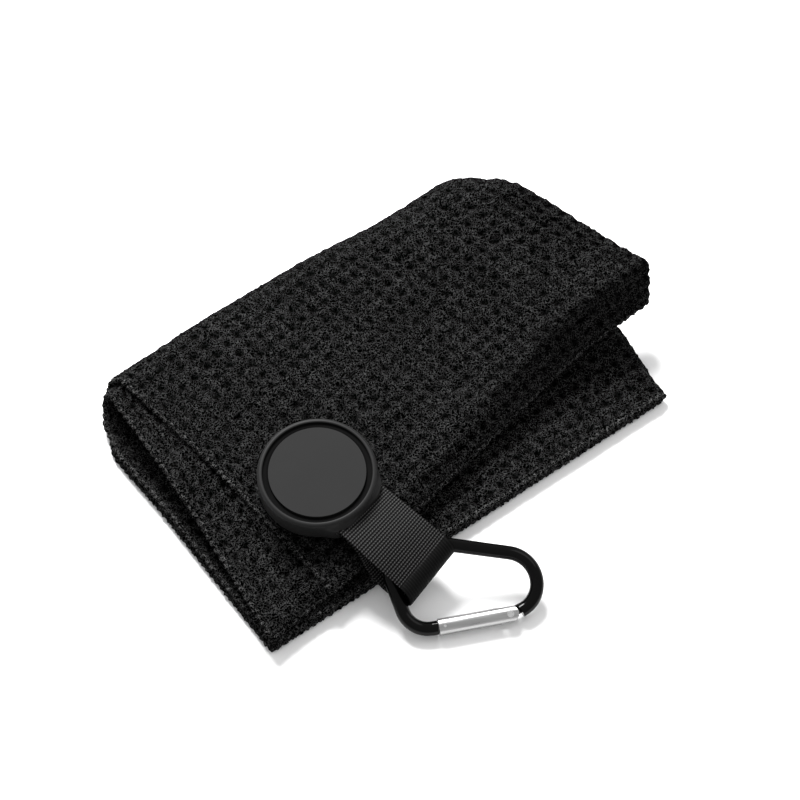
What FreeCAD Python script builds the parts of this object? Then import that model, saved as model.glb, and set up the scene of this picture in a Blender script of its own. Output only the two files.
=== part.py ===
import FreeCAD, Part
import math
import os
import Sketcher

App = FreeCAD
Vec = App.Vector
doc = App.newDocument("golf_towel")

# ---------------------------------------------------------------- sizes
SIZES = [
    # towel: a 400 x 300 mm waffle sheet folded in four
    ("pair_thickness", 6.8),        # two layers of cloth
    ("fold_length", 203.0),
    ("fold_width", 140.0),
    ("side_length", 100.8),         # straight left side of the lower pair
    ("back_left_x", 14.0),
    ("back_left_y", 128.0),
    ("back_right_x", 199.0),
    ("back_right_y", 114.2),
    ("fold_left_height", 23.0),     # height of the rolled back fold at its two ends
    ("fold_right_height", 43.0),
    ("front_right_height", 30.0),   # top of the upper pair at its front right corner
    ("end_front_x", 230.0),         # the upper pair's right end, front and back
    ("end_front_y", 36.0),
    ("end_back_x", 190.0),
    ("end_back_y", 126.0),
    ("overhang", 6.0),
    ("fold_tail", 22.0),            # how far the fold's foot reaches into the lower pair
    ("inset", 0.4),
    ("slope_length", 0.063),        # rise of the upper pair per mm along X
    ("slope_width", 0.084),         # rise per mm along Y
    ("top_height_front", 13.9),     # top of the four layers at the front left corner
    # puck
    ("puck_radius", 23.9),
    ("puck_height", 11.0),
    ("rim_inner", 21.8),
    ("face_radius", 19.4),
    ("groove_depth", 1.0),
    ("face_thickness", 1.6),
    ("puck_x", 52.8),
    ("puck_y", 42.0),
    ("puck_yaw", -77.0),
    ("neck_reach", 24.4),
    ("neck_width", 29.2),
    ("neck_low", 1.4),
    ("neck_high", 9.2),
    ("neck_round", 1.5),
    ("slot_width", 28.0),
    ("slot_half", 2.9),             # half height of the slot round the bar
    ("mouth_half", 1.8),            # half height of the slot at its mouth
    ("mouth_depth", 2.6),
    ("bar_height", 5.5),
    ("cup_radius", 16.5),
    ("cup_height", 6.0),
    ("cup_wall", 1.5),
    ("base_thickness", 1.0),
    ("base_radius", 21.0),
    ("bar_radius", 1.2),
    ("bar_reach", 20.6),
    ("edge_round", 1.1),
    ("foot_step", 0.2),
    ("fit", 0.1),                   # clearance between fitted parts of the puck
    # webbing
    ("web_width", 27.2),
    ("web_thickness", 1.4),
    ("web_yaw", -79.0),
    ("hinge_reach", 2.1),
    ("fold_left_reach", 32.5),      # centre of the loop's round end at its left edge,
    ("fold_left_centre", 9.1),      # out from the neck and above the ground
    ("fold_right_reach", 29.2),     # the same at its right edge
    ("fold_right_centre", 17.0),
    ("loop_inner", 5.8),
    ("root_height", 24.8),
    ("layer_gap", 0.15),            # half the gap between the two webbing layers
    ("tack_thickness", 0.4),
    ("tack_margin", 3.0),
    # carabiner
    ("rod_radius", 2.8),
    ("gate_radius", 3.4),
    ("pin_radius", 1.0),
    ("pin_clearance", 0.05),
    ("tongue_thickness", 2.4),
    ("slot_clearance", 0.2),
    ("carabiner_x", 50.5),
    ("carabiner_y", -24.2),
    ("carabiner_z", 5.7),
    ("carabiner_yaw", -25.5),
    ("carabiner_tilt", 24.0),
    ("gate_line", -3.5),
    ("nose_u", 9.0),
    ("hinge_u", 37.8),
    ("tongue_half", 2.3),
    ("fork_depth", 1.4),
    ("fork_reach", 3.4),              # the fork is rounded about its rivet
    ("end_gap", 0.3),
    ("spring_bore", 1.7),
    ("spring_depth", 12.0),
    ("spring_radius", 1.2),
    ("spring_wire", 0.25),
    ("spring_pitch", 1.1),
    ("spring_length", 7.7),
    ("plunger_radius", 1.5),
    ("plunger_length", 2.5),
    ("plunger_set", 2.2),
    ("head_gap", 0.1),
    ("head_thickness", 0.3),
    ("head_overlap", 0.4),
    ("latch_radius", 0.6),
    ("latch_inset", 2.6),
    # keeper under the upper pair
    ("keeper_radius", 18.0),
    ("keeper_thickness", 1.2),
    ("patch_radius", 23.0),
    ("patch_thickness", 0.8),
    ("keeper_drop", 0.8),           # from the cloth's underside to the keeper
    ("ring_inset", 2.0),
    ("ring_thread", 0.25),
    # thread
    ("thread_radius", 1.0),
    ("gap", 0.3),
    # the row's origin, from the front left corner of the towel
    ("origin_x", 113.85),
    ("origin_y", 46.8),
]

sheet = doc.addObject("Spreadsheet::Sheet", "Sizes")
for row, (alias, value) in enumerate(SIZES, start=1):
    sheet.set(f"A{row}", alias)
    sheet.set(f"B{row}", repr(value))
    sheet.setAlias(f"B{row}", alias)
doc.recompute()


def size(alias):
    """The sheet's value for one named size."""
    return float(sheet.get(alias))


ORIGIN = Vec(size("origin_x"), size("origin_y"), 0)


def top_height(x, y):
    """Height of the upper pair's top plane, x and y from the towel's corner."""
    return size("top_height_front") + size("slope_length") * x + size("slope_width") * y


def frame_at(point, x_axis, z_axis):
    """A placement at point (from the towel's corner) with the given axes."""
    z_axis = Vec(z_axis).normalize()
    x_axis = (x_axis - z_axis * x_axis.dot(z_axis)).normalize()
    y_axis = z_axis.cross(x_axis)
    return App.Placement(point - ORIGIN, App.Rotation(x_axis, y_axis, z_axis, "ZXY"))


def direction(yaw_deg):
    """Level unit vector at a yaw angle."""
    yaw = math.radians(yaw_deg)
    return Vec(math.cos(yaw), math.sin(yaw), 0)


TOWEL_NORMAL = Vec(-size("slope_length"), -size("slope_width"), 1)
puck_foot = Vec(size("puck_x"), size("puck_y"),
                top_height(size("puck_x"), size("puck_y")) + size("gap"))
PUCK = frame_at(puck_foot, direction(size("puck_yaw")), TOWEL_NORMAL)
neck_point = puck_foot + (PUCK.Rotation.multVec(Vec(size("neck_reach"), 0, 0)))
WEB = frame_at(Vec(neck_point.x, neck_point.y, 0), direction(size("web_yaw")), Vec(0, 0, 1))
across = direction(size("carabiner_yaw"))
level = Vec(-across.y, across.x, 0)
tilt = math.radians(size("carabiner_tilt"))
rise = level * math.cos(tilt) + Vec(0, 0, math.sin(tilt))
CARABINER = frame_at(
    Vec(size("carabiner_x"), size("carabiner_y"), size("carabiner_z")),
    across, across.cross(rise))
TOWEL = App.Placement(-ORIGIN, App.Rotation())

NODES = []


# ---------------------------------------------------------------- helpers
def finish(feature, label, placement):
    """Name a finished sub-part and put it in the row's frame."""
    feature.Label = label
    feature.Placement = placement.multiply(feature.Placement)
    NODES.append(feature)
    return feature


def cylinder(name, radius, height, z=0.0, at=Vec(0, 0, 0)):
    """Cylinder along local Z; radius and height are sheet expressions."""
    made = doc.addObject("Part::Cylinder", name)
    made.setExpression("Radius", radius)
    made.setExpression("Height", height)
    made.Placement.Base = at + Vec(0, 0, z)
    return made


def block(name, low, high):
    """Box between two local corners."""
    made = doc.addObject("Part::Box", name)
    made.Length, made.Width, made.Height = (high.x - low.x, high.y - low.y, high.z - low.z)
    made.Placement.Base = low
    return made


def cut(name, base, tool):
    """Base minus tool."""
    made = doc.addObject("Part::Cut", name)
    made.Base, made.Tool = base, tool
    return made


def fuse(name, *pieces):
    """All pieces as one solid."""
    made = doc.addObject("Part::MultiFuse", name)
    made.Shapes = list(pieces)
    made.Refine = True
    return made


def new_body(name):
    """An empty PartDesign body."""
    return doc.addObject("PartDesign::Body", name)


def plane_of(body, role):
    """One of a body's own origin planes."""
    return next(f for f in body.Origin.OriginFeatures if f.Role == role)


def new_sketch(body, name, role):
    """Sketch on one of the body's own planes."""
    made = body.newObject("Sketcher::SketchObject", name)
    made.AttachmentSupport = [(plane_of(body, role), "")]
    made.MapMode = "FlatFace"
    return made


def add_path(sketch, points, closed=True):
    """Straight segments through 2-D points; a middle point given as a 3-tuple
    (x, y, 'arc') makes the curve from the previous to the next point an arc."""
    count = len(points)
    last = count if closed else count - 1
    index = 0
    while index < last:
        start = Vec(*points[index][:2], 0)
        middle = points[(index + 1) % count]
        if len(middle) == 3:
            end = points[(index + 2) % count]
            sketch.addGeometry(
                Part.Arc(start, Vec(*middle[:2], 0), Vec(*end[:2], 0)), False)
            index += 2
        else:
            sketch.addGeometry(Part.LineSegment(start, Vec(*middle[:2], 0)), False)
            index += 1


def pad(body, sketch, name, length, midplane=False, reverse=False):
    """Pad a sketch; length is a sheet expression."""
    made = body.newObject("PartDesign::Pad", name)
    made.Profile = sketch
    made.setExpression("Length", length)
    made.Midplane = midplane
    made.Reversed = reverse
    sketch.Visibility = False
    return made


def rounded(corners, radii):
    """Points for add_path: a polyline whose inner corners are arcs of given radii."""
    path = [tuple(corners[0])]
    for before, here, after, radius in zip(corners, corners[1:], corners[2:], radii):
        back = (Vec(*before, 0) - Vec(*here, 0)).normalize()
        ahead = (Vec(*after, 0) - Vec(*here, 0)).normalize()
        half = back.getAngle(ahead) / 2
        reach = radius / math.tan(half)
        start = Vec(*here, 0) + back * reach
        end = Vec(*here, 0) + ahead * reach
        bisector = (back + ahead).normalize()
        middle = Vec(*here, 0) + bisector * (radius / math.sin(half) - radius)
        path.append((start.x, start.y))
        path.append((middle.x, middle.y, "arc"))
        path.append((end.x, end.y))
    path.append(tuple(corners[-1]))
    return path


# ---------------------------------------------------------------- towel
pair = size("pair_thickness")
length, width = size("fold_length"), size("fold_width")
inset = size("inset")

cloth = new_body("cloth")
lower = new_sketch(cloth, "lower_outline", "XY_Plane")
add_path(lower, [
    (0, 0),
    (length, 0),
    (size("back_right_x"), size("back_right_y")),
    (size("back_left_x"), size("back_left_y")),
    (0, size("side_length")),
])
pad(cloth, lower, "lower_pair", "Sizes.pair_thickness")


def wrap_section(name, start, along, reach_back, front_top, back_top):
    """Closed profile of the back fold and the upper pair, in a vertical plane that
    passes through start and runs along the given level direction."""
    made = cloth.newObject("Sketcher::SketchObject", name)
    normal = along.cross(Vec(0, 0, 1))
    made.Placement = App.Placement(start, App.Rotation(along, Vec(0, 0, 1), normal, "ZXY"))
    radius = back_top / 2
    centre = reach_back - radius
    tail = size("fold_tail")
    add_path(made, [
        (centre - tail, inset),
        (centre, inset),
        (reach_back, radius, "arc"),
        (centre, back_top),
        (0, front_top),
        (0, front_top - pair),
        (centre, back_top - pair),
        (centre + radius - pair, radius, "arc"),
        (centre, pair - inset),
        (centre - tail, pair - inset),
    ])
    return made


left_start = Vec(2 * inset, 2 * inset, 0)
left_section = wrap_section("left_section", left_start, Vec(0, 1, 0), width - 2 * inset,
                            size("top_height_front"), size("fold_left_height"))
end_front = Vec(size("end_front_x"), size("end_front_y"), 0)
end_back = Vec(size("end_back_x"), size("end_back_y"), 0)
crease = end_back - end_front
crease_reach = crease.Length + size("overhang")
crease.normalize()
right_section = wrap_section("right_section", end_front, crease, crease_reach,
                             size("front_right_height"), size("fold_right_height"))
loft = cloth.newObject("PartDesign::AdditiveLoft", "upper_pair")
loft.Profile = left_section
loft.Sections = [right_section]
loft.Ruled = True
doc.recompute()
finish(cloth, "towel_cloth", TOWEL)


def thread_run(name, label, corners):
    """A thread as a round bead along straight runs, at the cloth's edge."""
    beads = []
    for index, (start, end) in enumerate(zip(corners, corners[1:])):
        run = end - start
        bead = doc.addObject("Part::Cylinder", f"{name}_{index}")
        bead.setExpression("Radius", "Sizes.thread_radius")
        bead.Height = run.Length
        bead.Placement = App.Placement(start, App.Rotation(Vec(0, 0, 1), run))
        beads.append(bead)
    for index, corner in enumerate(corners[1:-1]):
        knot = doc.addObject("Part::Sphere", f"{name}_knot_{index}")
        knot.setExpression("Radius", "Sizes.thread_radius")
        knot.Placement.Base = corner
        beads.append(knot)
    made = fuse(name, *beads)
    return finish(made, label, TOWEL)


bead_out = size("thread_radius") + size("gap")
thread_run("edge_thread", "overlock_thread", [
    Vec(length - bead_out, -bead_out, pair / 2),
    Vec(-bead_out, -bead_out, pair / 2),
    Vec(-bead_out, size("side_length"), pair / 2),
])

# ---------------------------------------------------------------- keeper under the upper pair
gap = size("gap")
keeper_low = -(pair + size("keeper_drop") + size("keeper_thickness"))
patch_low = keeper_low - gap - size("patch_thickness")
keeper = cylinder("keeper", "Sizes.keeper_radius", "Sizes.keeper_thickness", z=keeper_low)
finish(keeper, "keeper_plate", PUCK)
patch_disc = cylinder("patch_disc", "Sizes.patch_radius",
                      "Sizes.patch_thickness + Sizes.keeper_thickness + Sizes.gap",
                      z=patch_low)
patch_room = cylinder("patch_room", "Sizes.keeper_radius + Sizes.gap",
                      "Sizes.keeper_thickness + 2 * Sizes.gap", z=keeper_low - gap)
finish(cut("patch", patch_disc, patch_room), "keeper_pocket", PUCK)
stitch_ring = doc.addObject("Part::Torus", "stitch_ring")
stitch_ring.setExpression("Radius1", "Sizes.patch_radius - Sizes.ring_inset")
stitch_ring.setExpression("Radius2", "Sizes.ring_thread")
stitch_ring.Placement.Base = Vec(0, 0, patch_low - size("ring_thread") - size("fit"))
finish(stitch_ring, "pocket_thread", PUCK)

# ---------------------------------------------------------------- puck
cover = new_body("cover")
profile = new_sketch(cover, "cover_profile", "XZ_Plane")
outer, rim, face = size("puck_radius"), size("rim_inner"), size("face_radius")
high, fit, edge = size("puck_height"), size("fit"), size("edge_round")
foot = size("foot_step")
SAGITTA = 1 - math.cos(math.pi / 4)   # how far a quarter round stays from its corner
room = size("cup_radius") + fit
seat = high - size("face_thickness") - fit
cup_base = size("base_thickness") + fit
cup_room = cup_base + size("cup_height") + fit
base_edge = size("base_radius") + fit
add_path(profile, [
    (base_edge, foot),
    (outer - edge / 2, foot),
    (outer, edge),
    (outer, high - edge),
    (outer - SAGITTA * edge, high - SAGITTA * edge, "arc"),
    (outer - edge, high),
    (rim, high),
    (rim, high - size("groove_depth")),
    (face + fit, high - size("groove_depth")),
    (face + fit, seat),
    (0, seat),
    (0, cup_room),
    (room, cup_room),
    (room, cup_base),
    (base_edge, cup_base),
])
turned = cover.newObject("PartDesign::Revolution", "cover_turned")
turned.Profile = profile
turned.ReferenceAxis = (profile, ["V_Axis"])
turned.Angle = 360.0
profile.Visibility = False
doc.recompute()
neck_low, neck_high = size("neck_low"), size("neck_high")
reach_out, neck_round = size("neck_reach"), size("neck_round")
neck_root = room + size("mouth_half") / 2
neck = new_sketch(cover, "neck_profile", "XZ_Plane")
add_path(neck, [
    (neck_root, neck_low),
    (reach_out, neck_low),
    (reach_out, neck_high - neck_round),
    (reach_out - SAGITTA * neck_round, neck_high - SAGITTA * neck_round, "arc"),
    (reach_out - neck_round, neck_high),
    (neck_root, neck_high),
])
pad(cover, neck, "neck_pad", "Sizes.neck_width", midplane=True)
bar_height = size("bar_height")
slot_half, mouth_half = size("slot_half"), size("mouth_half")
slot = new_sketch(cover, "slot_profile", "XZ_Plane")
add_path(slot, [
    (room + gap, bar_height - slot_half),
    (reach_out - size("mouth_depth"), bar_height - slot_half),
    (reach_out + gap, bar_height - mouth_half),
    (reach_out + gap, bar_height + mouth_half),
    (reach_out - size("mouth_depth"), bar_height + slot_half),
    (room + gap, bar_height + slot_half),
])
pocket = cover.newObject("PartDesign::Pocket", "slot_pocket")
pocket.Profile = slot
pocket.setExpression("Length", "Sizes.slot_width")
pocket.Midplane = True
slot.Visibility = False
doc.recompute()
finish(cover, "puck_cover", PUCK)

finish(cylinder("face", "Sizes.face_radius", "Sizes.face_thickness",
                z=high - size("face_thickness")), "face_disc", PUCK)
finish(cylinder("base", "Sizes.base_radius", "Sizes.base_thickness"), "puck_base", PUCK)
cup_outer = cylinder("cup_outer", "Sizes.cup_radius", "Sizes.cup_height", z=cup_base)
cup_inner = cylinder("cup_inner", "Sizes.cup_radius - Sizes.cup_wall", "Sizes.cup_height",
                     z=cup_base - size("cup_wall"))
finish(cut("cup", cup_outer, cup_inner), "steel_cup", PUCK)
finish(cylinder("magnet_disc", "Sizes.cup_radius - Sizes.cup_wall - Sizes.fit",
                "Sizes.cup_height - Sizes.cup_wall - Sizes.fit", z=cup_base), "magnet", PUCK)
bar = cylinder("bar", "Sizes.bar_radius", "Sizes.web_width")
bar_place = App.Placement(Vec(size("bar_reach"), size("web_width") / 2, bar_height),
                          App.Rotation(Vec(1, 0, 0), 90))
finish(bar, "anchor_bar", PUCK.multiply(bar_place))

# ---------------------------------------------------------------- webbing
web, layer_gap = size("web_thickness"), size("layer_gap")
root = new_body("root")
root_sketch = new_sketch(root, "root_profile", "XZ_Plane")
reach, grip = size("bar_reach"), size("bar_radius") + fit
mouth = reach_out - foot
add_path(root_sketch, [
    (mouth, bar_height + layer_gap + web),
    (reach, bar_height + grip + web),
    (reach - grip - web, bar_height, "arc"),
    (reach, bar_height - grip - web),
    (mouth, bar_height - layer_gap - web),
    (mouth, bar_height - layer_gap),
    (reach, bar_height - grip),
    (reach - grip, bar_height, "arc"),
    (reach, bar_height + grip),
    (mouth, bar_height + layer_gap),
])
pad(root, root_sketch, "root_pad", "Sizes.web_width", midplane=True)
doc.recompute()
finish(root, "webbing_root", PUCK)

start_s = size("hinge_reach") + gap
mid_z = size("root_height")
inner = size("loop_inner")
half_web = size("web_width") / 2
# upper face of the lower layer in side view: (out from the neck, above the ground)
LEFT_UNDER = [(start_s + web, mid_z), (9.6, 20.6), (13.6, 13.5), (22.0, 6.0)]
RIGHT_UNDER = [(start_s + web, mid_z), (10.6, 21.6), (14.2, 15.7), (20.0, 12.0)]


def moved_down(points, distance):
    """A polyline moved sideways by distance, to its lower side."""
    steps = [(Vec(*b, 0) - Vec(*a, 0)).normalize() for a, b in zip(points, points[1:])]
    made = []
    for index, point in enumerate(points):
        before = steps[max(index - 1, 0)]
        after = steps[min(index, len(steps) - 1)]
        side = Vec(before.y + after.y, -before.x - after.x, 0).normalize()
        lean = side.dot(Vec(before.y, -before.x, 0))
        place = Vec(*point, 0) + side * (distance / lean)
        made.append((place.x, place.y))
    return made


def loop_section(name, place, centre, under, thickness):
    """Closed side view of the loop at one edge: the outside of the webbing when
    thickness is the webbing's, the room inside it when thickness is zero."""
    made = strap.newObject("Sketcher::SketchObject", name)
    made.Placement = App.Placement(Vec(0, place, 0), App.Rotation(Vec(1, 0, 0), 90))
    reach_s, height = centre
    radius = inner + thickness
    lower_face = moved_down(under, thickness) if thickness else under
    top = (start_s + web * (0 if thickness else 1), mid_z + thickness)
    path = [top, (reach_s, height + radius), (reach_s + radius, height, "arc"),
            (reach_s, height - radius), *reversed(lower_face[1:])]
    if thickness:
        path.append((start_s, mid_z - web))
    add_path(made, path)
    return made


strap = new_body("strap")
EDGES = [(-half_web, (size("fold_left_reach"), size("fold_left_centre")), LEFT_UNDER),
         (half_web, (size("fold_right_reach"), size("fold_right_centre")), RIGHT_UNDER)]
outside = [loop_section(f"outside_{i}", *edge, web) for i, edge in enumerate(EDGES)]
strap_loft = strap.newObject("PartDesign::AdditiveLoft", "strap_loft")
strap_loft.Profile = outside[0]
strap_loft.Sections = [outside[1]]
strap_loft.Ruled = True
doc.recompute()
room_inside = [loop_section(f"inside_{i}", *edge, 0.0) for i, edge in enumerate(EDGES)]
open_loop = strap.newObject("PartDesign::SubtractiveLoft", "loop_room")
open_loop.Profile = room_inside[0]
open_loop.Sections = [room_inside[1]]
open_loop.Ruled = True
doc.recompute()
finish(strap, "webbing_loop", WEB)


def low_face(edge, s):
    """Height of the lower layer's under face at one edge, s out from the neck."""
    lower_face = moved_down(edge[2], web)
    slope = (lower_face[1][1] - mid_z + web) / (lower_face[1][0] - start_s)
    return mid_z - web + slope * (s - start_s)


tack_half = half_web - size("tack_margin")
tack_s = start_s + web
tack_left, tack_right = (low_face(edge, tack_s) for edge in EDGES)
tack_turn = math.degrees(math.atan2(tack_right - tack_left, 2 * half_web))
tack_drop = fit + size("tack_thickness")
tack = block("tack", Vec(-size("tack_thickness") / 2, -tack_half, -tack_drop - fit),
             Vec(size("tack_thickness") / 2, tack_half, -2 * fit))
finish(tack, "bartack_thread", WEB.multiply(App.Placement(
    Vec(tack_s, 0, (tack_left + tack_right) / 2), App.Rotation(Vec(1, 0, 0), tack_turn))))

# ---------------------------------------------------------------- carabiner
gate_line = size("gate_line")
CORNERS = [(size("nose_u"), gate_line), (-1.9, gate_line), (-9.2, 36.7), (51.0, 17.5),
           (51.0, 0.6), (42.4, -2.9)]
RADII = [10.5, 12.0, 12.4, 11.4]
frame_body = new_body("frame")
spine = new_sketch(frame_body, "rod_path", "XY_Plane")
add_path(spine, rounded(CORNERS, RADII), closed=False)
round_bar = new_sketch(frame_body, "rod_round", "YZ_Plane")
round_bar.AttachmentOffset = App.Placement(Vec(0, 0, size("nose_u")), App.Rotation())
round_bar.addGeometry(Part.Circle(Vec(gate_line, 0, 0), Vec(0, 0, 1), size("rod_radius")), False)
round_bar.addConstraint(Sketcher.Constraint("Radius", 0, size("rod_radius")))
round_bar.setExpression("Constraints[0]", "Sizes.rod_radius")
rod = frame_body.newObject("PartDesign::AdditivePipe", "rod")
rod.Profile = round_bar
rod.Spine = spine
rod.Transition = 1
spine.Visibility = False
round_bar.Visibility = False
doc.recompute()
tongue = new_sketch(frame_body, "tongue_outline", "XY_Plane")
hinge_u = size("hinge_u")
TONGUE = size("tongue_half")
add_path(tongue, [
    (hinge_u, gate_line + TONGUE),
    (hinge_u - TONGUE, gate_line, "arc"),
    (hinge_u, gate_line - TONGUE),
    (44.4, -3.0),
    (43.2, 0.4),
])
pad(frame_body, tongue, "tongue_pad", "Sizes.tongue_thickness", midplane=True)
pin_room = size("pin_radius") + size("pin_clearance")
pin_hole = new_sketch(frame_body, "pin_hole", "XY_Plane")
pin_hole.addGeometry(Part.Circle(Vec(hinge_u, gate_line, 0), Vec(0, 0, 1), pin_room), False)
pin_hole.addConstraint(Sketcher.Constraint("Radius", 0, pin_room))
pin_hole.setExpression("Constraints[0]", "Sizes.pin_radius + Sizes.pin_clearance")
drilled = frame_body.newObject("PartDesign::Pocket", "pin_bore")
drilled.Profile = pin_hole
drilled.Type = 1
drilled.Midplane = True
pin_hole.Visibility = False
doc.recompute()
finish(frame_body, "carabiner_frame", CARABINER)

gate_radius = size("gate_radius")
gate = new_body("gate")
gate_round = new_sketch(gate, "gate_round", "YZ_Plane")
gate_round.AttachmentOffset = App.Placement(Vec(0, 0, size("nose_u") + size("end_gap")), App.Rotation())
gate_round.addGeometry(Part.Circle(Vec(gate_line, 0, 0), Vec(0, 0, 1), gate_radius), False)
gate_round.addConstraint(Sketcher.Constraint("Radius", 0, gate_radius))
gate_round.setExpression("Constraints[0]", "Sizes.gate_radius")
pad(gate, gate_round, "gate_bar",
    "Sizes.hinge_u - Sizes.nose_u - Sizes.end_gap + Sizes.fork_reach")
slot_half = size("tongue_thickness") / 2 + size("slot_clearance")
gate_slot = new_sketch(gate, "gate_slot", "XZ_Plane")
fork_start = hinge_u - TONGUE - size("fork_depth")
fork_end = hinge_u + 2 * size("fork_reach")
add_path(gate_slot, [(fork_start, -slot_half), (fork_end, -slot_half),
                     (fork_end, slot_half), (fork_start, slot_half)])
slotted = gate.newObject("PartDesign::Pocket", "gate_fork")
slotted.Profile = gate_slot
slotted.Type = 1
slotted.Midplane = True
gate_slot.Visibility = False
fork_nose = new_sketch(gate, "fork_nose", "XY_Plane")
fork_reach = size("fork_reach")
nose_half = gate_radius + gap
add_path(fork_nose, [
    (hinge_u, gate_line + nose_half),
    (hinge_u, gate_line + fork_reach),
    (hinge_u + fork_reach, gate_line, "arc"),
    (hinge_u, gate_line - fork_reach),
    (hinge_u, gate_line - nose_half),
    (fork_end, gate_line - nose_half),
    (fork_end, gate_line + nose_half),
])
rounded_end = gate.newObject("PartDesign::Pocket", "fork_round")
rounded_end.Profile = fork_nose
rounded_end.Type = 1
rounded_end.Midplane = True
fork_nose.Visibility = False
gate_hole = new_sketch(gate, "gate_pin_hole", "XY_Plane")
gate_hole.addGeometry(Part.Circle(Vec(hinge_u, gate_line, 0), Vec(0, 0, 1), pin_room), False)
gate_hole.addConstraint(Sketcher.Constraint("Radius", 0, pin_room))
gate_hole.setExpression("Constraints[0]", "Sizes.pin_radius + Sizes.pin_clearance")
gate_bore = gate.newObject("PartDesign::Pocket", "gate_pin_bore")
gate_bore.Profile = gate_hole
gate_bore.Type = 1
gate_bore.Midplane = True
gate_hole.Visibility = False
latch_u = size("nose_u") + size("latch_inset")
latch_hole = new_sketch(gate, "latch_hole", "XY_Plane")
latch_hole.addGeometry(Part.Circle(Vec(latch_u, gate_line, 0), Vec(0, 0, 1),
                                   size("latch_radius") + size("pin_clearance")), False)
latch_bore = gate.newObject("PartDesign::Pocket", "latch_bore")
latch_bore.Profile = latch_hole
latch_bore.Type = 1
latch_bore.Midplane = True
latch_hole.Visibility = False
spring_room = new_sketch(gate, "spring_room", "YZ_Plane")
spring_room.AttachmentOffset = App.Placement(Vec(0, 0, fork_start + gap), App.Rotation())
spring_room.addGeometry(
    Part.Circle(Vec(gate_line, 0, 0), Vec(0, 0, 1), size("spring_bore")), False)
bored = gate.newObject("PartDesign::Pocket", "spring_bore")
bored.Profile = spring_room
bored.setExpression("Length", "Sizes.spring_depth + Sizes.gap")
spring_room.Visibility = False
doc.recompute()
finish(gate, "gate", CARABINER)

pin = cylinder("rivet_shaft", "Sizes.pin_radius",
               "2 * (Sizes.gate_radius + Sizes.head_gap + Sizes.head_thickness / 2)",
               at=Vec(hinge_u, gate_line,
                      -gate_radius - size("head_gap") - size("head_thickness") / 2))
rivet_parts = [pin]
head_low = -gate_radius - size("head_gap") - size("head_thickness")
for index, z in enumerate((head_low, gate_radius + size("head_gap"))):
    rivet_parts.append(cylinder(f"rivet_head_{index}", "Sizes.pin_radius + Sizes.head_overlap",
                                "Sizes.head_thickness", at=Vec(hinge_u, gate_line, z)))
finish(fuse("rivet", *rivet_parts), "gate_rivet", CARABINER)
finish(cylinder("latch", "Sizes.latch_radius", "2 * (Sizes.gate_radius - Sizes.fit)",
                at=Vec(latch_u, gate_line, -gate_radius + fit)), "latch_pin", CARABINER)

ALONG_GATE = App.Rotation(Vec(0, 1, 0), 90)
plunger_u = fork_start - size("plunger_set")
plunger = cylinder("plunger_rod", "Sizes.plunger_radius", "Sizes.plunger_length")
finish(plunger, "gate_plunger", CARABINER.multiply(
    App.Placement(Vec(plunger_u, gate_line, 0), ALONG_GATE)))
helix = doc.addObject("Part::Helix", "spring_helix")
helix.setExpression("Pitch", "Sizes.spring_pitch")
helix.setExpression("Height", "Sizes.spring_length")
helix.setExpression("Radius", "Sizes.spring_radius")
doc.recompute()
coil = doc.addObject("Part::Feature", "spring_coil")
section = Part.Wire(Part.Circle(Vec(size("spring_radius"), 0, 0), Vec(0, 1, 0),
                                size("spring_wire")).toShape())
coil.Shape = Part.Wire(helix.Shape.Edges).makePipeShell([section], True, True)
spring_u = plunger_u - 2 * size("spring_wire") - fit - size("spring_length")
finish(coil, "gate_spring", CARABINER.multiply(
    App.Placement(Vec(spring_u, gate_line, 0), ALONG_GATE)))

# ---------------------------------------------------------------- check and write
doc.recompute()
for thing in doc.Objects:
    if "Invalid" in thing.State or "Error" in thing.State:
        raise RuntimeError(f"{thing.Label}: {thing.State}")
os.makedirs("parts", exist_ok=True)
for node in NODES:
    shape = node.Shape
    if shape.isNull() or not shape.isValid():
        raise RuntimeError(f"bad shape: {node.Label}")
    shape.exportStep(f"parts/{node.Label}.step")
    print(node.Label, "solids", len(shape.Solids), "volume", round(shape.Volume, 1),
          "box", [round(v, 2) for v in (shape.BoundBox.XMin, shape.BoundBox.YMin,
                                        shape.BoundBox.ZMin, shape.BoundBox.XMax,
                                        shape.BoundBox.YMax, shape.BoundBox.ZMax)])
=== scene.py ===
import bpy
import math
import numpy as np
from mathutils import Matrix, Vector


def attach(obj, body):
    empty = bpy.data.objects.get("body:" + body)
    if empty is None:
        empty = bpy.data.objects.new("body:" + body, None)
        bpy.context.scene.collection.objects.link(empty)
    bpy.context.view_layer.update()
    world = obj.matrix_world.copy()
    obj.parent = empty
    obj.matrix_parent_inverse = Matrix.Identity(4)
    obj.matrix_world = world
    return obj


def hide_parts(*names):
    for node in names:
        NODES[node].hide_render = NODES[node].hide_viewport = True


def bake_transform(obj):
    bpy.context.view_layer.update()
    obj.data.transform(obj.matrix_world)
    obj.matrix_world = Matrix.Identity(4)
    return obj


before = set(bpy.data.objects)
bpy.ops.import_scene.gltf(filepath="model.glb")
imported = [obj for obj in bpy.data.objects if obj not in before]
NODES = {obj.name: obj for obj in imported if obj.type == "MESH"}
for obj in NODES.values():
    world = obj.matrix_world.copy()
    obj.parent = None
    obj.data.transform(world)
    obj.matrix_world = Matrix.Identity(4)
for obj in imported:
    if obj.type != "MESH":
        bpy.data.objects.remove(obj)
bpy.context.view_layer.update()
MM = 0.001
RNG = np.random.default_rng(7)

# the towel's front left corner, in the row's frame, millimetres
CORNER = np.array([-113.85, -46.8, 0.0])


# ---------------------------------------------------------------- small helpers
def lerp(a, b, t):
    return a + (b - a) * t


def smooth(edge0, edge1, x):
    """Smooth step from 0 at edge0 to 1 at edge1."""
    t = np.clip((x - edge0) / (edge1 - edge0), 0.0, 1.0)
    return t * t * (3 - 2 * t)


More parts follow.
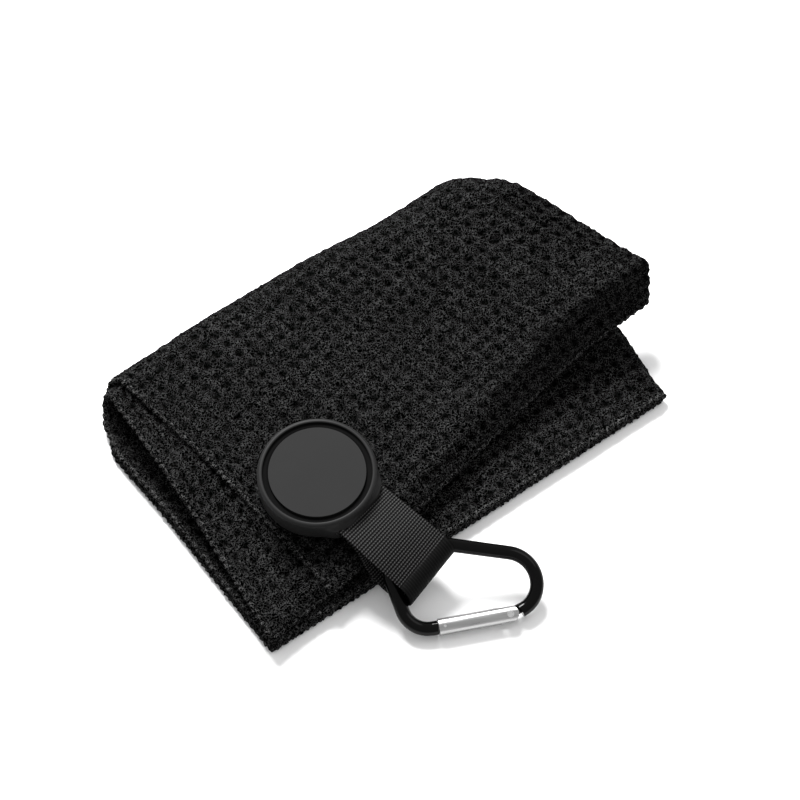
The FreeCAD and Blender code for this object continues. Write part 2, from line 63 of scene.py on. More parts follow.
def unit(v):
    return v / np.maximum(np.linalg.norm(v, axis=-1, keepdims=True), 1e-9)


def along(points, t):
    """Points on a smooth curve through control points, t from 0 to 1."""
    points = np.asarray(points, float)
    count = len(points) - 1
    x = np.clip(np.asarray(t, float), 0, 1) * count
    i = np.minimum(x.astype(int), count - 1)
    f = (x - i)[..., None]
    before = points[np.maximum(i - 1, 0)]
    here, ahead = points[i], points[i + 1]
    after = points[np.minimum(i + 2, count)]
    m0 = (ahead - before) / 2
    m1 = (after - here) / 2
    return ((2 * f**3 - 3 * f**2 + 1) * here + (f**3 - 2 * f**2 + f) * m0
            + (-2 * f**3 + 3 * f**2) * ahead + (f**3 - f**2) * m1)


def new_mesh(name, verts_mm, faces, paint, attributes=None):
    """Mesh object from millimetre points that are measured from the towel's corner."""
    mesh = bpy.data.meshes.new(name)
    mesh.from_pydata(((np.asarray(verts_mm) + CORNER) * MM).tolist(), [], faces)
    mesh.shade_smooth()
    for key, values in (attributes or {}).items():
        layer = mesh.attributes.new(key, "FLOAT", "POINT")
        layer.data.foreach_set("value", np.asarray(values, np.float32))
    mesh.materials.append(paint)
    mesh.update()
    made = bpy.data.objects.new(name, mesh)
    bpy.context.scene.collection.objects.link(made)
    return made


def grid_faces(rows, cols, start=0, closed_cols=False, closed_rows=False, flip=False):
    """Quads of a grid of points that is stored row by row."""
    r = np.arange(rows if closed_rows else rows - 1)
    c = np.arange(cols if closed_cols else cols - 1)
    r, c = np.meshgrid(r, c, indexing="ij")
    r2, c2 = (r + 1) % rows, (c + 1) % cols
    quads = np.stack([r * cols + c, r * cols + c2, r2 * cols + c2, r2 * cols + c], -1)
    quads = quads.reshape(-1, 4) + start
    if flip:
        quads = quads[:, ::-1]
    return quads.tolist()


def border(rows, cols):
    """Row and column of every point on a grid's border, once round."""
    return ([(r, 0) for r in range(rows)]
            + [(rows - 1, c) for c in range(1, cols)]
            + [(r, cols - 1) for r in range(rows - 2, -1, -1)]
            + [(0, c) for c in range(cols - 2, 0, -1)])


def two_sided_faces(rows, cols, ring):
    """Faces of a thin sheet: both sides, and a strip round the border that joins them."""
    total = rows * cols
    faces = grid_faces(rows, cols) + grid_faces(rows, cols, total, flip=True)
    ids = [r * cols + c for r, c in ring]
    for here, ahead in zip(ids, ids[1:] + ids[:1]):
        faces.append([ahead, here, here + total, ahead + total])
    return faces


# ---------------------------------------------------------------- materials
def material(name):
    made = bpy.data.materials.new(name)
    made.use_nodes = True
    nodes = made.node_tree.nodes
    shader = nodes["Principled BSDF"]
    return made, nodes, made.node_tree.links, shader


def noise(nodes, links, scale, detail=3.0, roughness=0.6, vector=None):
    made = nodes.new("ShaderNodeTexNoise")
    made.inputs["Scale"].default_value = scale
    made.inputs["Detail"].default_value = detail
    made.inputs["Roughness"].default_value = roughness
    links.new(vector, made.inputs["Vector"])
    return made.outputs["Fac"]


def ramp(nodes, links, value, stops):
    made = nodes.new("ShaderNodeValToRGB")
    while len(made.color_ramp.elements) < len(stops):
        made.color_ramp.elements.new(0.5)
    for element, (place, colour) in zip(made.color_ramp.elements, stops):
        element.position = place
        element.color = (*colour, 1) if hasattr(colour, "__len__") else (colour,) * 3 + (1,)
    links.new(value, made.inputs["Fac"])
    return made.outputs["Color"]


def mix_colour(nodes, links, kind, factor, a, b):
    made = nodes.new("ShaderNodeMix")
    made.data_type = "RGBA"
    made.blend_type = kind
    if isinstance(factor, float):
        made.inputs["Factor"].default_value = factor
    else:
        links.new(factor, made.inputs["Factor"])
    for value, socket in ((a, made.inputs["A"]), (b, made.inputs["B"])):
        if isinstance(value, tuple):
            socket.default_value = (*value, 1)
        else:
            links.new(value, socket)
    return made.outputs["Result"]


def bump(nodes, links, height, strength, distance, shader):
    made = nodes.new("ShaderNodeBump")
    made.inputs["Strength"].default_value = strength
    made.inputs["Distance"].default_value = distance
    links.new(height, made.inputs["Height"])
    links.new(made.outputs["Normal"], shader.inputs["Normal"])


def terry(name, dark, light):
    """Black microfibre terry: curly yarn loops with painted highlights on their tops and painted
    shade in the gaps between them, and painted shade down in each waffle pit.
    """
    made, nodes, links, shader = material(name)
    place = nodes.new("ShaderNodeTexCoord").outputs["Object"]
    yarn = nodes.new("ShaderNodeTexNoise")
    yarn.inputs["Scale"].default_value = 1120.0
    yarn.inputs["Detail"].default_value = 0.0
    yarn.inputs["Distortion"].default_value = 0.6
    links.new(place, yarn.inputs["Vector"])
    centre = nodes.new("ShaderNodeMath")
    centre.operation = "SUBTRACT"
    centre.inputs[1].default_value = 0.5
    links.new(yarn.outputs["Fac"], centre.inputs[0])
    from_middle = nodes.new("ShaderNodeMath")
    from_middle.operation = "ABSOLUTE"
    links.new(centre.outputs[0], from_middle.inputs[0])
    patch = noise(nodes, links, 90.0, 3.0, 0.6, place)
    # the loop pattern sets the colour: painted highlights on the loop tops, painted shade in the
    # gaps; the same pattern also drives the bump
    loops = ramp(nodes, links, from_middle.outputs[0], [(0.02, 1.0), (0.105, 0.0)])
    colour = mix_colour(nodes, links, "MIX", loops, (dark,) * 3, (light,) * 3)
    colour = mix_colour(nodes, links, "MULTIPLY", 1.0, colour,
                        ramp(nodes, links, patch, [(0.3, 0.75), (0.7, 1.15)]))
    # painted shade: the pit attribute darkens the colour down in the waffle pits and in the overlock
    # cord's twist grooves
    pit = nodes.new("ShaderNodeAttribute")
    pit.attribute_name = "pit"
    colour = mix_colour(nodes, links, "MIX", pit.outputs["Fac"], colour, (dark * 0.3,) * 3)
    links.new(colour, shader.inputs["Base Color"])
    shader.inputs["Roughness"].default_value = 0.95
    shader.inputs["Specular IOR Level"].default_value = 0.0
    bump(nodes, links, loops, 0.6, 0.0005, shader)
    return made


def moulded(name, shade, roughness, grain):
    """Soft-touch moulded rubber or plastic with a very fine grain."""
    made, nodes, links, shader = material(name)
    place = nodes.new("ShaderNodeTexCoord").outputs["Object"]
    fine = noise(nodes, links, 2600.0, 2.0, 0.6, place)
    patch = noise(nodes, links, 60.0, 3.0, 0.6, place)
    colour = mix_colour(nodes, links, "MULTIPLY", 1.0, (shade,) * 3,
                        ramp(nodes, links, patch, [(0.35, 0.94), (0.65, 1.05)]))
    links.new(colour, shader.inputs["Base Color"])
    links.new(ramp(nodes, links, patch, [(0.3, roughness - 0.05), (0.7, roughness + 0.05)]),
              shader.inputs["Roughness"])
    shader.inputs["Specular IOR Level"].default_value = 0.09
    bump(nodes, links, fine, grain, 0.0001, shader)
    return made


DOT_PITCH = 1.13                  # weft dots across the strap


def webbing_material(name, dark, light):
    """Woven nylon: ribs are real relief, with the fine weft dots between them in the shader; the
    colour gives painted highlights on the rib tops and dots and painted shade in the gaps between
    them.
    """
    made, nodes, links, shader = material(name)
    rib = nodes.new("ShaderNodeAttribute")
    rib.attribute_name = "rib"
    dots = nodes.new("ShaderNodeAttribute")
    dots.attribute_name = "across"
    wave = nodes.new("ShaderNodeMath")
    wave.operation = "SINE"
    scale = nodes.new("ShaderNodeMath")
    scale.operation = "MULTIPLY"
    scale.inputs[1].default_value = 2 * math.pi / DOT_PITCH
    links.new(dots.outputs["Fac"], scale.inputs[0])
    links.new(scale.outputs[0], wave.inputs[0])
    place = nodes.new("ShaderNodeTexCoord").outputs["Object"]
    fine = noise(nodes, links, 2200.0, 2.0, 0.6, place)
    # painted highlights on the rib tops and weft dots, painted shade in the gaps between them; the
    # dots also drive the bump
    dotted = ramp(nodes, links, wave.outputs[0], [(0.0, 0.35), (0.6, 1.0)])
    rib_highlight_and_shade = ramp(nodes, links, rib.outputs["Fac"], [(0.25, 0.0), (0.7, 1.0)])
    colour = mix_colour(nodes, links, "MIX", rib_highlight_and_shade, (dark,) * 3, (light,) * 3)
    colour = mix_colour(nodes, links, "MULTIPLY", 1.0, colour, dotted)
    colour = mix_colour(nodes, links, "MULTIPLY", 1.0, colour,
                        ramp(nodes, links, fine, [(0.3, 0.8), (0.7, 1.15)]))
    links.new(colour, shader.inputs["Base Color"])
    shader.inputs["Roughness"].default_value = 0.6
    shader.inputs["Specular IOR Level"].default_value = 0.05
    bump(nodes, links, dotted, 0.35, 0.0002, shader)
    return made


GATE_TURN = math.radians(25.5)    # turns the grain to lie along the gate


def metal(name, shade, roughness, metallic, specular=0.5, brushed=False):
    """Metal, with its grain drawn out along the gate when it is brushed."""
    made, nodes, links, shader = material(name)
    coord = nodes.new("ShaderNodeTexCoord").outputs["Object"]
    if brushed:
        turn = nodes.new("ShaderNodeMapping")
        turn.inputs["Rotation"].default_value = (0, 0, GATE_TURN)
        links.new(coord, turn.inputs["Vector"])
        stretch = nodes.new("ShaderNodeMapping")
        stretch.inputs["Scale"].default_value = (0.04, 1.0, 1.0)
        links.new(turn.outputs["Vector"], stretch.inputs["Vector"])
        coord = stretch.outputs["Vector"]
    grain = noise(nodes, links, 1400.0, 3.0, 0.6, coord)
    links.new(mix_colour(nodes, links, "MULTIPLY", 1.0, (shade,) * 3,
                         ramp(nodes, links, grain, [(0.3, 0.85), (0.7, 1.1)])),
              shader.inputs["Base Color"])
    links.new(ramp(nodes, links, grain, [(0.3, roughness * 0.85), (0.7, roughness * 1.2)]),
              shader.inputs["Roughness"])
    shader.inputs["Metallic"].default_value = metallic
    shader.inputs["Specular IOR Level"].default_value = specular
    bump(nodes, links, grain, 0.05, 0.0001, shader)
    return made


# the terry's dark and light tones are painted shade between the yarn loops and painted highlights on
# their tops
TERRY = terry("black_terry", 0.0002, 0.032)
# the overlock yarn is drawn lighter than the cloth: a painted highlight for the light that the
# cloth's edges catch
RIM_LIT_THREAD = terry("overlock_yarn_rim_highlight", 0.0008, 0.08)
RUBBER = moulded("puck_rubber", 0.0115, 0.5, 0.2)
# the groove's near-black tone is painted shade in the recess between the face and the rim
GROOVE_SHADE = moulded("puck_groove_shade", 0.0006, 0.9, 0.2)
FACE = moulded("puck_face", 0.0143, 0.7, 0.2)
# the webbing's dark and light tones are painted shade in the weave's gaps and painted highlights on
# its rib tops
WEBBING = webbing_material("nylon_webbing", 0.0006, 0.066)
BLACK = metal("black_anodised", 0.001, 0.08, 0.0, specular=0.1)
SILVER = metal("bare_aluminium", 0.36, 0.3, 1.0, brushed=True)
STEEL = metal("plated_steel", 0.6, 0.3, 1.0)
MAGNET = metal("nickel", 0.62, 0.2, 1.0)


# ---------------------------------------------------------------- towel
SHEET_LENGTH, SHEET_WIDTH = 400.0, 300.0
HEM_LOSS = 8                      # width that the hems take up
FLAT_WIDTH = SHEET_WIDTH - HEM_LOSS
LAYER = 3.4                       # pitch of the folded layers
THICK = 2.9                       # one layer's own thickness
PITCH = 6.7                       # waffle cell
LENGTH = SHEET_LENGTH / 2
STEP = 1.1                        # mesh spacing
PIT_DEPTH = 1.15                  # waffle pit, at most
HEM_EDGE = 1.6                    # width over which the cloth rounds off to its edge
TURN_POINTS = 7                   # rows of points round the crease


def left_to_right(a, *values):
    """A number that varies along the fold, from the open ends (a=0) to the crease (a=1)."""
    return along(np.array(values, float)[:, None], a)[..., 0]


def layer_ends(inner, a):
    """Where one layer's line starts at the lower front edge, meets the roll, leaves it,
    and ends at the upper front edge, for places a along the fold."""
    if inner:
        front_x = lerp(1.7, 197.0, a)
        roll_x = left_to_right(a, 3.5, 52.0, 99.0, 146.0, 191.0)
        top_x = left_to_right(a, 10.0, 56.0, 103.0, 149.5, 198.0)
        lip = along([(1.5, 2.0), (54, 8.5), (112, 21.5), (167, 34.5), (212.0, 35.5)], a)
    else:
        front_x = lerp(0.8, 197.0, a)
        roll_x = left_to_right(a, 4.5, 54.0, 101.0, 148.0, 192.0)
        top_x = left_to_right(a, 17.5, 61.5, 106.5, 151.5, 196.8)
        lip = along([(31.5, 3.0), (80, 13.0), (130, 22.5), (176, 31.0), (214.8, 31.6)], a)
    return front_x, roll_x, top_x, lip


RIDGE_SHARP = 0.92                # how near the upper front bend is to a crease
LOWER_SHARE, ROLL_SHARE = 0.36, 0.2   # shares of a profile's points below and round the roll
LEVEL_SHARE = 0.45                # how far the upper pair's slope eases in and out


def pair_shape(a):
    """The pair's roll radius and back edge, the ridge's height and how far the ridge
    stands back from the upper front edge, for places a along the fold."""
    radius = left_to_right(a, 8.6, 10.2, 12.0, 15.3, 20.4)
    back = left_to_right(a, 138.0, 138.5, 137.4, 131.7, 130.2) - 11.5 * smooth(0.86, 1.0, a) ** 2
    ridge = left_to_right(a, 11.3, 14.8, 19.6, 28.0, 37.3)
    set_back = left_to_right(a, 2.0, 5.5, 8.0, 8.5, 7.0)
    return radius, back, ridge, set_back


def profile(inner, a, count=420):
    """One layer's line across the towel at places a, as (places, count, 3) points, with
    the length still to go to the upper front edge."""
    side = -0.5 * LAYER if inner else 0.5 * LAYER
    front_x, roll_x, top_x, lip = layer_ends(inner, a)
    radius, back, ridge, set_back = pair_shape(a)
    lip_z = (left_to_right(a, 8.6, 8.6, 9.2, 11.0, 14.5) if inner
             else left_to_right(a, 11.4, 11.8, 12.2, 13.6, 19.5))
    own = radius + side
    centre_y = (back - radius - LAYER)[:, None]
    centre_z = (LAYER + radius)[:, None]
    column = a[:, None]
    lower_n, roll_n = int(count * LOWER_SHARE), int(count * ROLL_SHARE)
    upper_n = count - lower_n - roll_n
    t = np.linspace(0, 1, lower_n, endpoint=False)[None, :]
    turn_in = smooth(0.88, 1.0, t)
    bulge = 6.0 * column**3 * smooth(0.0, 0.42, t) * (1 - turn_in)
    bulge = bulge - 1.2 * (1 - column)**8 * smooth(0.6, 0.86, t) * (1 - turn_in)
    low = np.stack([lerp(front_x[:, None], roll_x[:, None], turn_in) + bulge,
                    lerp(lerp(1.6, -2.0, column), centre_y, t),
                    LAYER - side + 0 * t + 0 * column], -1)
    ang = np.linspace(-math.pi / 2, math.pi / 2, roll_n, endpoint=False)[None, :]
    turned = ang / math.pi + 0.5
    swell = turned * (1 - turned) * (10.0 * (1 - column) ** 8 - 8.0 * column**8)
    roll = np.stack([lerp(roll_x[:, None], top_x[:, None], turned) + swell,
                     centre_y + own[:, None] * np.cos(ang),
                     centre_z + own[:, None] * np.sin(ang)], -1)
    # level off the roll, run to the ridge, then bend down over the front edge
    t = np.linspace(0, 1, upper_n)[None, :]
    top_z = centre_z + own[:, None]
    ridge_z = (ridge + side)[:, None]
    ridge_y = lip[:, 1:2] + set_back[:, None]
    droop = ridge_z - lip_z[:, None]
    bend = set_back[:, None] + droop
    share = bend / (bend + centre_y - ridge_y)
    run = np.clip(t / (1 - share), 0, 1)
    fall = np.clip((t - (1 - share)) / share, 0, 1)
    ease = lerp(run, smooth(0.0, 1.0, run), LEVEL_SHARE)
    front = (1 - fall) ** 2 + RIDGE_SHARP * 2 * fall * (1 - fall)
    y = np.where(fall > 0, lip[:, 1:2] + set_back[:, None] * front, lerp(centre_y, ridge_y, run))
    z = lerp(top_z, ridge_z, ease) - droop * fall**2
    bow = 1.6 * np.sin(math.pi * t) * (1 - column) ** 6
    flare = 7.8 * column**6 * run * (1 - fall**1.5)
    up = np.stack([lerp(top_x[:, None], lip[:, :1], t) + bow + flare, y, z], -1)
    points = np.concatenate([low, roll, up], 1)
    step = np.linalg.norm(np.diff(points, axis=1), axis=2)
    arc = np.concatenate([np.zeros((len(a), 1)), np.cumsum(step, 1)], 1)
    zone = np.concatenate([np.zeros(lower_n), np.linspace(0, 1, roll_n), np.ones(upper_n)])
    return points, arc[:, -1:] - arc, zone


def even_profile(inner, a, rows):
    """The profile at evenly spaced rows, with waffle coordinate across the cloth."""
    points, arc, zone = profile(inner, a)
    out = np.empty((len(a), rows, 3))
    across = np.empty((len(a), rows))
    lane = np.linspace(0, 1, rows)
    for k in range(len(a)):
        total = arc[k, 0]
        place = lane * total
        forward = total - arc[k]
        for axis in range(3):
            out[k, :, axis] = np.interp(place, forward, points[k, :, axis])
        over = smooth(0.1, 0.9, np.interp(place, forward, zone))
        across[k] = lerp(FLAT_WIDTH - place, total - place, over)
    return out, across


WAVES = 7


def wobble(points, size, reach):
    """Slow random unevenness of hand-folded cloth, as a sum of a few waves."""
    waves = np.zeros(points.shape[:-1])
    for _ in range(WAVES):
        way = unit(RNG.normal(size=3)) * 2 * math.pi / (reach * RNG.uniform(0.7, 1.6))
        waves += np.sin(points @ way + RNG.uniform(0, 6.3))
    return waves * size / 3


def towel_sheet():
    """The sheet's middle surface as a grid: outer layer from its open end to the crease,
    round the crease, and back along the inner layer."""
    cols = int(LENGTH / STEP)
    rows = int(FLAT_WIDTH / STEP)
    a = np.linspace(0, 1, cols)
    outer, outer_q = even_profile(False, a, rows)
    inner, inner_q = even_profile(True, a, rows)
    turn = np.linspace(0, math.pi, TURN_POINTS + 2)[1:-1]
    middle = (outer[-1] + inner[-1]) / 2
    half = (outer[-1] - inner[-1]) / 2
    outward = unit(outer[-1] - outer[-4]) * np.linalg.norm(half, axis=1, keepdims=True) * 1.25
    crease = np.stack([middle + half * math.cos(t) + outward * math.sin(t) for t in turn])
    crease_q = np.stack([lerp(outer_q[-1], inner_q[-1], t / math.pi) for t in turn])
    grid = np.concatenate([outer, crease, inner[::-1]], 0)
    across = np.concatenate([outer_q, crease_q, inner_q[::-1]], 0)
    lengthwise = np.concatenate([a * LENGTH, LENGTH + np.sin(turn / 2) * 4,
                                 LENGTH + 6 + a * LENGTH])
    lengthwise = np.repeat(lengthwise[:, None], rows, 1)
    return grid, lengthwise, across


def normals_of(grid):
    du = np.gradient(grid, axis=0)
    dv = np.gradient(grid, axis=1)
    return unit(np.cross(du, dv))


def waffle(p, q):
    """How deep in a waffle pit a place is, from 0 on the ribs to 1."""
    x = 0.5 + 0.5 * np.cos(2 * math.pi * p / PITCH)
    y = 0.5 + 0.5 * np.cos(2 * math.pi * q / PITCH)
    return (x * y) ** 1.7


def build_towel():
    grid, p, q = towel_sheet()
    lift = wobble(grid, 0.5, 60.0) * smooth(0.0, 14.0, grid[..., 2])
    grid[..., 2] = np.maximum(grid[..., 2] + lift, THICK / 2)
    normal = normals_of(grid)
    rows, cols = grid.shape[:2]
    p = p + wobble(grid, 0.35, 40.0) + wobble(grid, 0.4, 13.0)
    q = q + wobble(grid, 0.35, 40.0) + wobble(grid, 0.4, 13.0)
    crisp = np.clip(0.95 + wobble(grid, 0.2, 45.0), 0.6, 1.15)
    from_row_end = np.minimum(np.arange(rows), rows - 1 - np.arange(rows))[:, None] * STEP
    from_col_end = np.minimum(np.arange(cols), cols - 1 - np.arange(cols))[None, :] * STEP
    edge = np.minimum(from_row_end, from_col_end)
    hem = smooth(1.0, 5.0, edge)
    taper = np.sqrt(np.clip(1 - (1 - np.clip(edge / HEM_EDGE, 0, 1)) ** 2, 0.05, 1))
    sides = []
    pit_shades = []
    for sign, shift in ((-1, 0.0), (1, PITCH / 2)):
        pit = waffle(p + shift, q + shift) * (0.35 + 0.65 * hem) * crisp
        fuzz = RNG.normal(0, 0.16, pit.shape) + wobble(grid, 0.12, 9.0)
        reach = THICK / 2 * taper - PIT_DEPTH * pit + fuzz * taper
        sides.append(grid + sign * normal * reach[..., None])
        # painted shade: each pit's depth is also stored to darken the colour down in the pit
        pit_shades.append(np.clip(pit * 1.1, 0, 0.9))
    verts = np.concatenate([s.reshape(-1, 3) for s in sides])
    verts[:, 2] = np.maximum(verts[:, 2], 0.15)
    ring = border(rows, cols)
    towel = new_mesh("waffle_towel", verts, two_sided_faces(rows, cols, ring), TERRY,
                     {"pit": np.concatenate([x.reshape(-1) for x in pit_shades])})
    rim = np.array([grid[r, c] for r, c in ring])
    rim_normal = np.array([normal[r, c] for r, c in ring])
    return towel, rim, rim_normal


YARN_RADIUS, YARN_TWIST, YARN_STEP = 1.25, 3.4, 0.55


def rope(name, path, up, radius, twist, paint):
    """Overlock stitching: a cord of yarn wound round the cloth's raw edge."""
    path = np.asarray(path)
    step = np.linalg.norm(np.diff(path, axis=0, append=path[:1]), axis=1)
    arc = np.concatenate([[0], np.cumsum(step)])
    count = int(arc[-1] / YARN_STEP)
    place = np.linspace(0, arc[-1], count, endpoint=False)
    closed = np.vstack([path, path[:1]])
    closed_up = np.vstack([up, up[:1]])
    centre = np.stack([np.interp(place, arc, closed[:, k]) for k in range(3)], 1)
    lift = unit(np.stack([np.interp(place, arc, closed_up[:, k]) for k in range(3)], 1))
    ahead = unit(np.roll(centre, -1, 0) - np.roll(centre, 1, 0))
    side = unit(np.cross(ahead, lift))
    lift = np.cross(side, ahead)
    ring = 10
    ang = np.linspace(0, 2 * math.pi, ring, endpoint=False)
    turns = 2 * math.pi * round(arc[-1] / twist) / arc[-1]
    drift = 1.4 * np.sin(place / 7.3) + 1.1 * np.sin(place / 3.1 + 1.0)
    wave = 1 + 0.2 * np.cos(ang[None, :] - (turns * place + drift)[:, None])
    wave += RNG.normal(0, 0.13, wave.shape)
    offset = (np.cos(ang)[None, :, None] * side[:, None] + np.sin(ang)[None, :, None] * lift[:, None])
    verts = centre[:, None] + offset * (radius * wave)[..., None]
    verts = verts.reshape(-1, 3)
    verts[:, 2] = np.maximum(verts[:, 2], 0.1)
    # painted shade: darker where the cord is thinner, in the grooves between its twists, and a little
    # darker all along it
    pit = np.clip(0.15 - (wave - 1) * 2.0, 0, 0.75).reshape(-1)
    return new_mesh(name, verts, grid_faces(count, ring, closed_cols=True, closed_rows=True),
                    paint, {"pit": pit})


towel, rim, rim_normal = build_towel()
stitching = rope("edge_overlock", rim, rim_normal, YARN_RADIUS, YARN_TWIST, RIM_LIT_THREAD)
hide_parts("towel_cloth")
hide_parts("overlock_thread")
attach(towel, "towel")
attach(stitching, "towel")


# ---------------------------------------------------------------- puck and strap frames
NORMAL = unit(np.array([-0.063, -0.084, 1.0]))
PUCK_FOOT = np.array([52.8, 42.0, 21.054])
PUCK_YAW, WEB_YAW = math.radians(-77), math.radians(-79)
OUTWARD = np.array([math.cos(PUCK_YAW), math.sin(PUCK_YAW), 0.0])
PUCK_X = unit(OUTWARD - NORMAL * (OUTWARD @ NORMAL))
PUCK_Y = np.cross(NORMAL, PUCK_X)
NECK_REACH = 24.4
NECK = PUCK_FOOT + PUCK_X * NECK_REACH
WEB_X = np.array([math.cos(WEB_YAW), math.sin(WEB_YAW), 0.0])
WEB_Y = np.array([-WEB_X[1], WEB_X[0], 0.0])


def puck_place(local):
    """Points in the puck's own frame to the towel corner's frame."""
    return PUCK_FOOT + local[..., :1] * PUCK_X + local[..., 1:2] * PUCK_Y + local[..., 2:] * NORMAL


PUCK_RADIUS, LUG_HALF, LUG_CORNER = 23.9, 13.9, 25.7


def lug_reach(angle):
    """Outline radius below the rim: round, drawn out to a straight mouth for the strap."""
    turn = np.abs((angle + math.pi) % (2 * math.pi) - math.pi)
    corner = math.atan2(LUG_HALF, NECK_REACH)
    straight = NECK_REACH / np.cos(np.minimum(turn, corner))
    side = lerp(LUG_CORNER, PUCK_RADIUS, smooth(0.0, 1.0, (turn - corner) / 0.3))
    return np.where(turn < corner, np.minimum(straight, LUG_CORNER), side)


AROUND = 240                      # points round the puck
GROOVE_ROWS = 5                   # rows of faces, from the inside, that lie in the groove and get the painted groove shade


def build_shell():
    """The moulded cover with its rim, groove and the low lug that holds the webbing."""
    angle = np.linspace(0, 2 * math.pi, AROUND, endpoint=False)
    lug = lug_reach(angle)
    # height, radius on the round body, share of the lug
    rows = [(9.4, 19.45, 0), (9.9, 19.55, 0), (9.95, 20.6, 0), (9.95, 21.5, 0), (10.2, 21.7, 0),
            (10.75, 21.8, 0), (10.95, 22.0, 0), (11.0, 22.35, 0), (10.95, 22.8, 0),
            (10.75, 23.25, 0), (10.4, 23.6, 0), (9.9, 23.82, 0.0), (9.3, 23.9, 0.06),
            (8.7, 23.9, 0.28), (8.2, 23.9, 0.7), (7.8, 23.9, 0.94), (7.3, 23.9, 1.0),
            (4.0, 23.9, 1.0), (1.3, 23.85, 1.0), (0.6, 23.6, 1.0), (0.25, 23.0, 0.98),
            (0.2, 21.2, 0.9)]
    points = []
    for height, radius, share in rows:
        reach = radius + (lug - PUCK_RADIUS) * share
        points.append(np.stack([reach * np.cos(angle), reach * np.sin(angle),
                                np.full(AROUND, height)], -1))
    verts = puck_place(np.concatenate(points))
    faces = grid_faces(len(rows), AROUND, closed_cols=True, flip=True)
    shell = new_mesh("puck_shell", verts, faces, RUBBER)
    # the faces that dip into the groove get the painted groove shade
    shell.data.materials.append(GROOVE_SHADE)
    for polygon in shell.data.polygons:
        if polygon.index < GROOVE_ROWS * AROUND:
            polygon.material_index = 1
    return shell


shell = build_shell()
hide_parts("puck_cover")
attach(shell, "puck")

# ---------------------------------------------------------------- strap
WEB_HALF, WEB_THICK = 13.6, 1.3
RIB_PITCH, RIB_DEPTH = 1.2, 0.2
STRAP_ROWS, STRAP_COLS = 440, 73


def strap_line(upper, fold, radius, lower):
    """Side view of the strap at one edge: out along the top, round the fold and back."""
    turn = np.linspace(math.pi / 2, -math.pi / 2, 40)
    bend = np.stack([fold[0] + radius * np.cos(turn), fold[1] + radius * np.sin(turn)], -1)
    out = along([*upper, tuple(bend[0])], np.linspace(0, 1, 60, endpoint=False))
    home = along([tuple(bend[-1]), *lower], np.linspace(0, 1, 80))
    return np.concatenate([out, bend, home[1:]])


def even_line(line, count):
    arc = np.concatenate([[0], np.cumsum(np.linalg.norm(np.diff(line, axis=0), axis=1))])
    place = np.linspace(0, arc[-1], count)
    return np.stack([np.interp(place, arc, line[:, k]) for k in (0, 1)], -1), arc[-1]


def build_strap():
    left = strap_line([(-4.0, 25.75), (1.0, 25.45), (9.0, 24.0), (17.0, 21.6), (24.0, 18.6)],
                      (29.3, 10.4), 5.9,
                      [(21.5, 5.6), (13.2, 12.6), (9.2, 19.8), (3.0, 23.6), (-4.0, 24.1)])
    right = strap_line([(-4.0, 25.75), (1.0, 25.45), (9.0, 25.1), (17.0, 24.6), (24.0, 23.4)],
                       (29.1, 17.0), 5.3,
                       [(20.0, 11.3), (13.8, 15.0), (10.2, 20.8), (3.0, 23.7), (-4.0, 24.1)])
    left, left_length = even_line(left, STRAP_ROWS)
    right, right_length = even_line(right, STRAP_ROWS)
    length = (left_length + right_length) / 2
    side = np.linspace(-1, 1, STRAP_COLS)
    share = (side * 0.5 + 0.5)[None, :, None]
    flat = lerp(left[:, None], right[:, None], share)
    centre = (NECK * np.array([1, 1, 0]) + flat[..., :1] * WEB_X
              + (side * WEB_HALF)[None, :, None] * WEB_Y
              + 0.7 * smooth(12.0, 32.0, flat[..., :1]) * (2.0 - share) * WEB_Y
              + flat[..., 1:] * np.array([0, 0, 1]))
    normal = normals_of(centre)
    run = np.linspace(0, length, STRAP_ROWS)[:, None] + 0 * side[None, :]
    across = side[None, :] * WEB_HALF + 0 * run
    rib = 0.5 + 0.5 * np.cos(2 * math.pi * run / RIB_PITCH)
    dot = 0.5 + 0.5 * np.cos(2 * math.pi * across / DOT_PITCH + math.pi * np.floor(run / RIB_PITCH))
    # the weave's ribs and dots are smoothed out where the strap turns back on itself, and the colour
    # there goes dark
    pressed = smooth(-0.6, 0.7, flat[..., 0] - lerp(29.8, 29.6, side * 0.5 + 0.5)[None, :])
    rib = lerp(rib, 0.42, pressed)
    dot = lerp(dot, 0.5, pressed)
    edge = np.sqrt(np.clip(1 - np.clip((np.abs(across) - WEB_HALF + 0.5) / 0.5, 0, 1) ** 2, 0.06, 1))
    relief = RIB_DEPTH * rib * (0.55 + 0.45 * dot)
    lift = (WEB_THICK / 2 * edge + (relief - RIB_DEPTH) * edge)[..., None]
    verts = np.concatenate([(centre - normal * lift).reshape(-1, 3),
                            (centre + normal * lift).reshape(-1, 3)])
    rows, cols = centre.shape[:2]
    faces = two_sided_faces(rows, cols, border(rows, cols))
    shade = np.tile((rib * (0.35 + 0.65 * dot)).reshape(-1), 2)
    strap = new_mesh("webbing_strip", verts, faces, WEBBING,
                     {"rib": shade, "across": np.tile(across.reshape(-1), 2)})
    return strap, length


strap, strap_length = build_strap()
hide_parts("webbing_root", "webbing_loop")
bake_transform(strap)

# ---------------------------------------------------------------- carried-over CAD pieces
PAINT = {
    "keeper_plate": STEEL, "keeper_pocket": TERRY, "pocket_thread": RIM_LIT_THREAD,
    "face_disc": FACE, "puck_base": FACE, "steel_cup": STEEL, "magnet": MAGNET,
    "anchor_bar": STEEL, "bartack_thread": RIM_LIT_THREAD, "carabiner_frame": BLACK, "gate": SILVER,
    "gate_rivet": STEEL, "latch_pin": STEEL, "gate_plunger": STEEL, "gate_spring": STEEL,
}
for name, paint in PAINT.items():
    mesh = NODES[name].data
    for index in range(max(1, len(mesh.materials))):
        if index < len(mesh.materials):
            mesh.materials[index] = paint
        else:
            mesh.materials.append(paint)

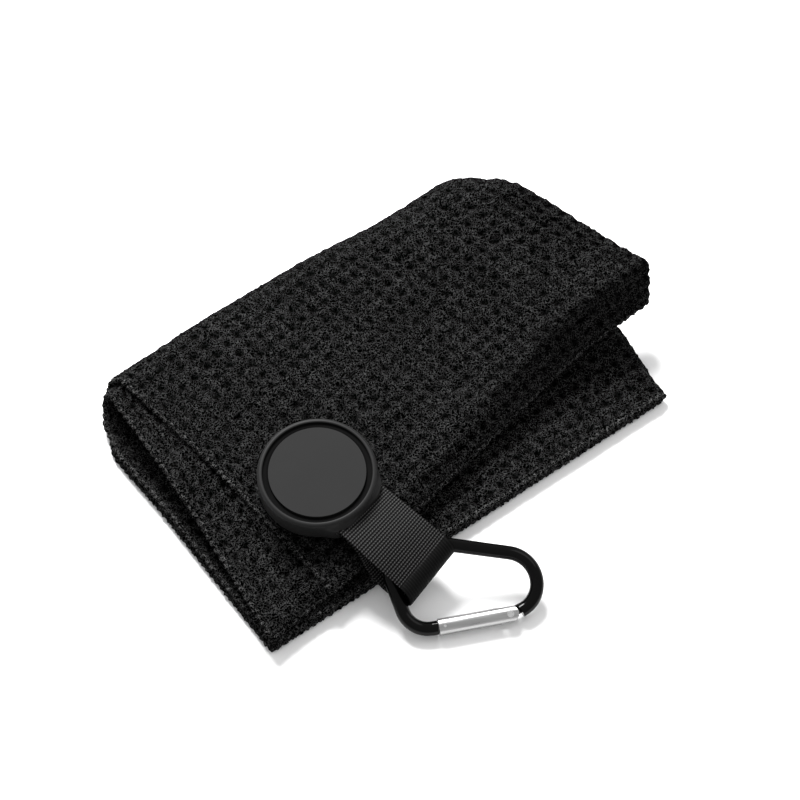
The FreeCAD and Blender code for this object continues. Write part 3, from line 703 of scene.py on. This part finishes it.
# ---------------------------------------------------------------- floor, light, camera
FLOOR_HALF = 3.0
floor_mesh = bpy.data.meshes.new("floor")
floor_mesh.from_pydata([(-FLOOR_HALF, -FLOOR_HALF, 0), (FLOOR_HALF, -FLOOR_HALF, 0),
                        (FLOOR_HALF, FLOOR_HALF, 0), (-FLOOR_HALF, FLOOR_HALF, 0)],
                       [], [(0, 1, 2, 3)])
floor = bpy.data.objects.new("floor", floor_mesh)
bpy.context.scene.collection.objects.link(floor)
floor_paint, _, _, floor_shader = material("pale_floor")
floor_shader.inputs["Base Color"].default_value = (0.92, 0.92, 0.92, 1)
floor_shader.inputs["Roughness"].default_value = 0.9
floor_mesh.materials.append(floor_paint)
floor.visible_diffuse = False     # the floor throws no light back up at the dark cloth

world = bpy.data.worlds.new("studio")
world.use_nodes = True
world.node_tree.nodes["Background"].inputs["Color"].default_value = (1, 1, 1, 1)
world.node_tree.nodes["Background"].inputs["Strength"].default_value = 0.72
bpy.context.scene.world = world


def area_light(name, place, target, size, power):
    data = bpy.data.lights.new(name, "AREA")
    data.shape = "DISK"
    data.size = size
    data.energy = power
    made = bpy.data.objects.new(name, data)
    made.location = place
    made.rotation_euler = (Vector(target) - Vector(place)).to_track_quat("-Z", "Y").to_euler()
    bpy.context.scene.collection.objects.link(made)


LIGHT_TARGET = (0, 0, 0.01)
area_light("key", (0.3, 0.95, 1.05), LIGHT_TARGET, 0.6, 56.0)
area_light("fill", (0.9, -0.2, 1.2), LIGHT_TARGET, 0.9, 4.0)

CAMERA_AZIMUTH, CAMERA_ELEVATION = math.radians(-37.0), math.radians(57.0)
CAMERA_DISTANCE = 0.8333
CAMERA_TARGET = Vector((-0.0068, 0.0129, 0.010))
away = Vector((math.sin(CAMERA_AZIMUTH) * math.cos(CAMERA_ELEVATION),
               -math.cos(CAMERA_AZIMUTH) * math.cos(CAMERA_ELEVATION),
               math.sin(CAMERA_ELEVATION)))
camera_data = bpy.data.cameras.new("camera")
camera_data.lens = 90.0
camera_data.sensor_width = 36.0
camera = bpy.data.objects.new("camera", camera_data)
camera.location = CAMERA_TARGET + away * CAMERA_DISTANCE
camera.rotation_euler = (-away).to_track_quat("-Z", "Y").to_euler()
bpy.context.scene.collection.objects.link(camera)
bpy.context.scene.camera = camera
bpy.context.scene.view_settings.view_transform = "Standard"
